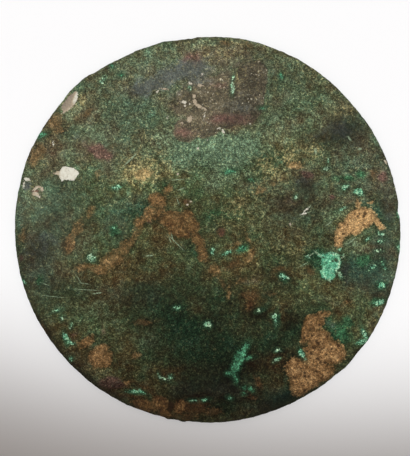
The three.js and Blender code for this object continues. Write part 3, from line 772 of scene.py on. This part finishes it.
class Nodes:
    """Adds and links nodes of one material; every method but add gives back an output socket."""

    def __init__(self, tree):
        self.tree = tree
        place = self.add("TexCoord", {})
        self.place = self.vector("SCALE", place.outputs["Object"], scale=1 / MM)
        self.broad = self.noise(8.0, 11.0, 3.0, 0.55)
        self.middle = self.noise(2.8, 23.0, 3.0, 0.6)
        self.fine = self.noise(1.1, 37.0, 3.0, 0.65, 0.6)
        self.tiny = self.noise(0.55, 53.0, 2.0, 0.7)

    def add(self, kind, inputs, **settings):
        """A new shader node. Inputs are linked or set, by name or number, and settings are set."""
        made = self.tree.nodes.new("ShaderNode" + kind)
        for name, value in settings.items():
            setattr(made, name, value)
        for name, value in inputs.items():
            if isinstance(value, bpy.types.NodeSocket):
                self.tree.links.new(value, made.inputs[name])
            else:
                made.inputs[name].default_value = value
        return made

    def vector(self, operation, first, second=None, scale=None):
        inputs = {0: first}
        if second is not None:
            inputs[1] = second
        if scale is not None:
            inputs["Scale"] = scale
        return self.add("VectorMath", inputs, operation=operation).outputs[0]

    def math(self, operation, *values, clamp=False):
        """The values joined one after another by one operation."""
        total = values[0]
        for value in values[1:]:
            inputs = {0: total, 1: value}
            total = self.add("Math", inputs, operation=operation, use_clamp=clamp).outputs[0]
        return total

    def times(self, *values):
        return self.math("MULTIPLY", *values)

    def plus(self, *values):
        return self.math("ADD", *values)

    def most(self, *values):
        """The largest of the values."""
        return self.math("MAXIMUM", *values)

    def attribute(self, name):
        return self.add("Attribute", {}, attribute_name=name).outputs["Fac"]

    def noise(self, cell, shift, detail=2.0, roughness=0.5, distortion=0.0):
        """Noise from 0 to 1, most of it from 0.3 to 0.7, with features about one cell wide."""
        moved = self.vector("ADD", self.place, (shift, 2 * shift, 0.3 * shift))
        made = self.add("TexNoise", {
            "Vector": moved, "Scale": 1 / cell, "Detail": detail, "Roughness": roughness,
            "Distortion": distortion,
        })
        return made.outputs["Fac"]

    def grains(self, cell, shift):
        """A random number from 0 to 1 for each grain of a packed, gritty surface."""
        moved = self.vector("ADD", self.place, (shift, -2 * shift, 0.7 * shift))
        made = self.add("TexVoronoi", {"Vector": moved, "Scale": 1 / cell})
        return self.add("SeparateColor", {"Color": made.outputs["Color"]}).outputs[0]

    def threads(self, cell, shift, width, bend=1.2):
        """1 along thin wandering lines, 0 away from them."""
        level = self.math("SUBTRACT", self.noise(cell, shift, 1.0, 0.5, bend), 0.5)
        away = self.add("Math", {0: level}, operation="ABSOLUTE").outputs[0]
        return self.step(away, width, 3 * width, 1.0, 0.0)

    def lines(self, threads):
        """1 along each of the given thin lines, 0 away from them."""
        nearest = 9.0
        for x, y, length, width, turn in threads:
            moved = self.add("Mapping", {
                "Vector": self.place, "Location": (x, y, 0), "Scale": (length, width, 1e6),
                "Rotation": (0, 0, math.radians(turn)),
            }, vector_type="TEXTURE").outputs[0]
            away = self.add("VectorMath", {0: moved}, operation="LENGTH").outputs["Value"]
            nearest = self.math("MINIMUM", nearest, away)
        return self.step(nearest, 0.6, 1.5, 1.0, 0.0)

    def span(self, value, low, high, bottom, top, curve="LINEAR"):
        """Goes straight from bottom to top as value goes from low to high."""
        inputs = {"Value": value, 1: low, 2: high, 3: bottom, 4: top}
        return self.add("MapRange", inputs, interpolation_type=curve).outputs["Result"]

    def step(self, value, low, high, bottom=0.0, top=1.0):
        """The same, but rising smoothly."""
        return self.span(value, low, high, bottom, top, "SMOOTHSTEP")

    def vary(self, noise, amount):
        """The noise as a number from -amount to amount."""
        return self.span(noise, 0.3, 0.7, -amount, amount)

    def ragged(self, name, noise, rag, soft):
        """Where a growth is, with its edge pushed in and out by rag mm of noise."""
        return self.patchy(name, noise, rag, -soft, soft)

    def patchy(self, name, noise, rag, low, high):
        """Where a soft field is strong, broken up by noise."""
        return self.step(self.plus(self.attribute(name), self.vary(noise, rag)), low, high)

    def mix(self, factor, below, above):
        """One colour over another, as much of it as the factor says."""
        inputs = {0: factor, 6: below, 7: above}
        return self.add("Mix", inputs, data_type="RGBA").outputs[2]

    def paint(self, factor, below, colour):
        """One plain colour over another."""
        return self.mix(factor, below, linear(*colour))

    def brighten(self, colour, doublings):
        """The colour as many times twice as bright."""
        return self.vector("SCALE", colour, scale=self.math("POWER", 2.0, doublings))

    def ramp(self, factor, stops):
        """The colour that a ramp has at the factor."""
        made = self.add("ValToRGB", {"Fac": factor})
        elements = made.color_ramp.elements
        while len(elements) < len(stops):
            elements.new(1.0)
        for element, (position, colour) in zip(elements, stops):
            element.position = position
            element.color = linear(*colour)
        return made.outputs["Color"]


def crust_colour(n, mottle):
    """The general crust, from brown through olive to green, and greyer where dust and painted sheen lie.
    """
    hue = n.plus(n.span(n.broad, 0.3, 0.7, 0.3, 0.7), n.times(mottle, 0.12))
    hue = n.plus(hue, n.times(n.attribute("green"), 0.4))
    # greyer with dust and painted sheen
    dust = n.math("ADD", n.attribute("dust"), n.times(mottle, 0.25), clamp=True)
    return n.mix(dust, n.ramp(hue, CLEAN_CRUST), n.ramp(hue, DUST_AND_SHEEN_CRUST))


def stained(n, colour, bare, slate):
    """Bare brown metal, slate, pale crust, golden speckle, purple and malachite."""
    colour = n.mix(bare, colour, n.ramp(n.middle, BARE_METAL))
    colour = n.paint(n.times(slate, 0.9), colour, SLATE)
    pale = n.times(n.patchy("pale", n.fine, 0.3, 0.05, 0.95), n.span(bare, 0, 1, 1, 0.1))
    colour = n.paint(pale, colour, PALE_CRUST)
    colour = n.paint(n.patchy("gold", n.fine, 0.7, 0.1, 1.5), colour, GOLD)
    red = n.times(n.patchy("red", n.middle, 0.25, 0.15, 1.1), 0.8)
    colour = n.paint(red, colour, PURPLE)
    malachite = n.times(n.ragged("malachite", n.middle, 0.65, 1.2), 0.85)
    return n.mix(malachite, colour, n.ramp(n.middle, GREEN))


def flecked(n, colour, plain, bare):
    """Pale threads and flecks, and whitish specks on the bare metal."""
    thread = n.times(n.threads(1.7, 79.0, 0.012), n.step(n.noise(1.3, 83.0, 1.0), 0.53, 0.65))
    fleck = n.most(thread, n.step(n.noise(0.8, 71.0, 2.0, 0.7, 1.0), 0.63, 0.72))
    fleck = n.times(fleck, n.span(n.attribute("shade"), 0, 0.8, 0.35, 0.1))
    colour = n.paint(n.times(fleck, n.span(plain, 0, 0.5, 1, 0.3)), colour, FLECK)
    speck = n.times(bare, n.step(n.noise(0.9, 43.0, 1.0), 0.66, 0.72), n.step(n.broad, 0.4, 0.6), 0.8)
    return n.paint(speck, colour, SPECK)


def earthed(n, colour):
    """Earth crust over a colour: darker towards its edges, with a pale line along some of them
    that is partly a painted highlight, and with painted shadow round its foot.
    """
    earth = n.ragged("earth", n.plus(n.times(n.fine, 0.6), n.times(n.middle, 0.4)), 0.9, 0.55)
    depth, thickness = n.attribute("earth"), n.attribute("earth_thickness")
    thick = n.step(thickness, 0.4, 0.7)
    # a pale line just inside some edges: the crust's pale rim, partly a painted highlight
    line = n.times(n.step(depth, 0.0, 0.25), n.step(depth, 0.45, 0.9, 1.0, 0.0))
    line = n.times(line, n.step(n.noise(4.0, 91.0, 2.0), 0.52, 0.64), n.step(n.fine, 0.35, 0.55))
    tone = n.plus(n.attribute("earth_tone"), n.vary(n.middle, 0.24), n.vary(n.fine, 0.2))
    tone = n.plus(tone, n.step(depth, 0.2, 2.6, -0.16, 0.06), n.times(line, 0.35))
    cover = n.plus(thickness, n.vary(n.fine, 0.14), n.vary(n.middle, 0.1), n.times(line, 0.2))
    cover = n.times(earth, n.span(cover, 0.1, 0.6, 0.35, 0.97), n.step(depth, -0.3, 1.5, 0.7, 1.0))
    # painted shadow just outside the crust's edge, round its foot
    painted_shadow_round_crust = n.times(n.step(depth, -1.6, -0.1), n.math("SUBTRACT", 1.0, earth), 0.4)
    colour = n.brighten(colour, n.times(painted_shadow_round_crust, -1.0))
    return n.mix(cover, colour, n.ramp(tone, SOIL)), earth, thick


def bloomed(n, colour):
    """Turquoise over a colour: whitish specks and edges, and a deep green halo."""
    depth, solid = n.attribute("bloom"), n.step(n.attribute("bloom_thickness"), 0.25, 0.34)
    halo = n.times(n.step(depth, -1.7, -0.1), 0.45)
    colour = n.paint(halo, colour, HALO)
    bloom = n.ragged("bloom", n.fine, 0.55, 0.3)
    broken = n.step(n.tiny, 0.38, 0.52)
    bloom = n.times(bloom, n.most(broken, n.span(solid, 0, 1, 0.35, 0.95)))
    edge = n.times(n.step(depth, 0.0, 0.3), n.step(depth, 0.6, 1.2, 1.0, 0.0))
    edge = n.times(edge, n.step(n.middle, 0.45, 0.6))
    flecks = n.times(n.vary(n.tiny, 1.0), n.span(solid, 0, 1, 0.5, 0.12))
    tone = n.plus(n.attribute("bloom_tone"), n.vary(n.fine, 0.3), flecks)
    tone = n.plus(tone, n.times(edge, 0.35))
    blue = n.step(n.noise(4.0, 67.0, 1.0), 0.45, 0.6, 0.0, 0.5)
    salts = n.paint(blue, n.ramp(tone, SALTS), TURQUOISE)
    return n.mix(n.times(bloom, 0.95), colour, salts), bloom


def grained(n, colour, quiet):
    """Fine grain: grit, thin lines and fine noise, weaker where the surface is quiet."""
    grit = n.span(n.grains(0.7, 61.0), 0, 1, -0.5, 0.5)
    threads = n.times(n.threads(1.0, 97.0, 0.02, 1.6), 1.1)
    grain = n.plus(n.vary(n.fine, 0.64), n.vary(n.tiny, 1.3), grit, threads, -0.22)
    grain = n.math("MINIMUM", n.times(grain, n.span(quiet, 0, 1, 1, 0.1)), 1.9)
    tint = n.ramp(n.noise(0.7, 29.0, 2.0, 0.7), GRAIN_TINTS)
    colour = n.vector("MULTIPLY", colour, tint)
    return n.brighten(colour, n.plus(grain, PALENESS))


def limed(n, colour):
    """Lime over a colour, with thin places in it."""
    lime = n.times(n.ragged("lime", n.tiny, 0.24, 0.12), n.step(n.tiny, 0.3, 0.45, 0.7, 1.0))
    tone = n.plus(n.attribute("lime_tone"), n.vary(n.fine, 0.16))
    return n.mix(lime, colour, n.ramp(tone, CHALK)), lime


def patina(name):
    """Corroded bronze: mottled green and brown, with each growth laid over the one before."""
    material = bpy.data.materials.new(name)
    material.use_nodes = True
    tree = material.node_tree
    tree.nodes.clear()
    n = Nodes(tree)

    # where the surface is smooth, and how strong its middle-sized mottling is
    bare = n.patchy("bare", n.middle, 0.3, 0.15, 0.9)
    bare = n.most(n.ragged("cuprite", n.middle, 0.36, 0.5), bare)
    slate = n.patchy("slate", n.middle, 0.3, 0.2, 1.1)
    calm = n.math("MULTIPLY", n.attribute("calm"), 0.5, clamp=True)
    plain = n.most(n.times(bare, 0.4), n.times(slate, 0.5), calm)
    mottle = n.times(n.vary(n.middle, 1.0), n.span(plain, 0, 1, 1, 0.2))

    colour = stained(n, crust_colour(n, mottle), bare, slate)
    light = n.plus(n.times(mottle, 0.5), n.span(n.broad, 0.3, 0.7, -0.35, 0.3))
    # the shade field: mostly the patina's tone, with painted light and shade in its broadest patches
    light = n.plus(light, n.times(n.attribute("shade"), -2.0))
    colour = flecked(n, n.brighten(colour, light), plain, bare)
    colour, earth, thick = earthed(n, colour)
    colour, bloom = bloomed(n, colour)
    quiet = n.most(plain, n.times(earth, n.span(thick, 0, 1, 0.4, 0.3)), n.times(bloom, 0.45))
    colour = grained(n, colour, quiet)
    thread = n.times(n.lines(THREADS), n.step(n.tiny, 0.35, 0.6, 0.15, 0.85))
    colour = n.paint(thread, colour, THREAD)
    colour, lime = limed(n, colour)
    colour = n.paint(n.step(n.attribute("pit"), 0.15, 0.8, 0.0, 0.85), colour, PIT)
    # grime and painted shade in the rounding of the edge, heaviest on the lower side
    colour = n.paint(n.times(n.attribute("rim"), 0.45), colour, GRIME_AND_SHADE)

    plain = n.most(plain, n.times(lime, 0.85))
    rough = n.math("ADD", n.span(plain, 0, 1, 0.88, 0.6), n.vary(n.fine, 0.06), clamp=True)
    height = n.plus(n.times(n.fine, 0.6), n.times(n.tiny, 0.4))
    height = n.times(height, n.span(plain, 0, 1, 1, 0.3))
    bump = n.add("Bump", {"Height": height, "Strength": 0.6, "Distance": 0.25 * MM})
    surface = n.add("BsdfPrincipled", {
        "Base Color": colour, "Roughness": rough, "Normal": bump.outputs[0],
        "Specular IOR Level": 0.1, "Metallic": 0.0,
    })
    output = n.add("OutputMaterial", {})
    tree.links.new(surface.outputs[0], output.inputs["Surface"])
    return material


# ---- studio -----------------------------------------------------------------------------------

def studio(radius, top):
    """A pale floor, one soft lamp above the disc's upper edge, and a camera straight above."""
    scene = bpy.context.scene
    scene.view_settings.view_transform = "Standard"

    bpy.ops.mesh.primitive_plane_add(size=3.0, location=(0, 0, 0))
    floor = bpy.context.object
    floor.name = "floor"
    paper = bpy.data.materials.new("paper")
    paper.use_nodes = True
    shader = paper.node_tree.nodes["Principled BSDF"].inputs
    shader["Base Color"].default_value = (0.865, 0.856, 0.858, 1)
    shader["Roughness"].default_value = 0.9
    shader["Specular IOR Level"].default_value = 0.2
    floor.data.materials.append(paper)

    lamp = bpy.data.lights.new("lamp", "AREA")
    lamp.shape = "DISK"
    lamp.size = 1.2
    lamp.spread = math.radians(8.1)
    lamp.energy = 3.18
    lamp.color = (0.942, 0.977, 1.0)
    lit = bpy.data.objects.new("lamp", lamp)
    lit.location = (0.063, 0.521, 0.8)
    lit.visible_camera = False
    scene.collection.objects.link(lit)

    world = bpy.data.worlds.new("room")
    world.use_nodes = True
    background = world.node_tree.nodes["Background"].inputs
    background["Color"].default_value = (1.0, 0.9, 0.83, 1)
    background["Strength"].default_value = 0.3
    scene.world = world

    lens = bpy.data.cameras.new("camera")
    lens.lens = 85
    lens.sensor_width = 36
    camera = bpy.data.objects.new("camera", lens)
    distance = VIEW_HEIGHT * 2 * radius * lens.lens / lens.sensor_width
    camera.location = (*VIEW_MIDDLE, top + distance)
    scene.collection.objects.link(camera)
    scene.camera = camera


# ---- the mirror -------------------------------------------------------------------------------

disc = disc_mesh(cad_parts["mirror_disc"])
disc.data.materials.append(patina("patinated_bronze"))
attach(disc, "root")
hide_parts("mirror_disc")
studio((cad_high.x - cad_low.x) / 2, cad_high.z)
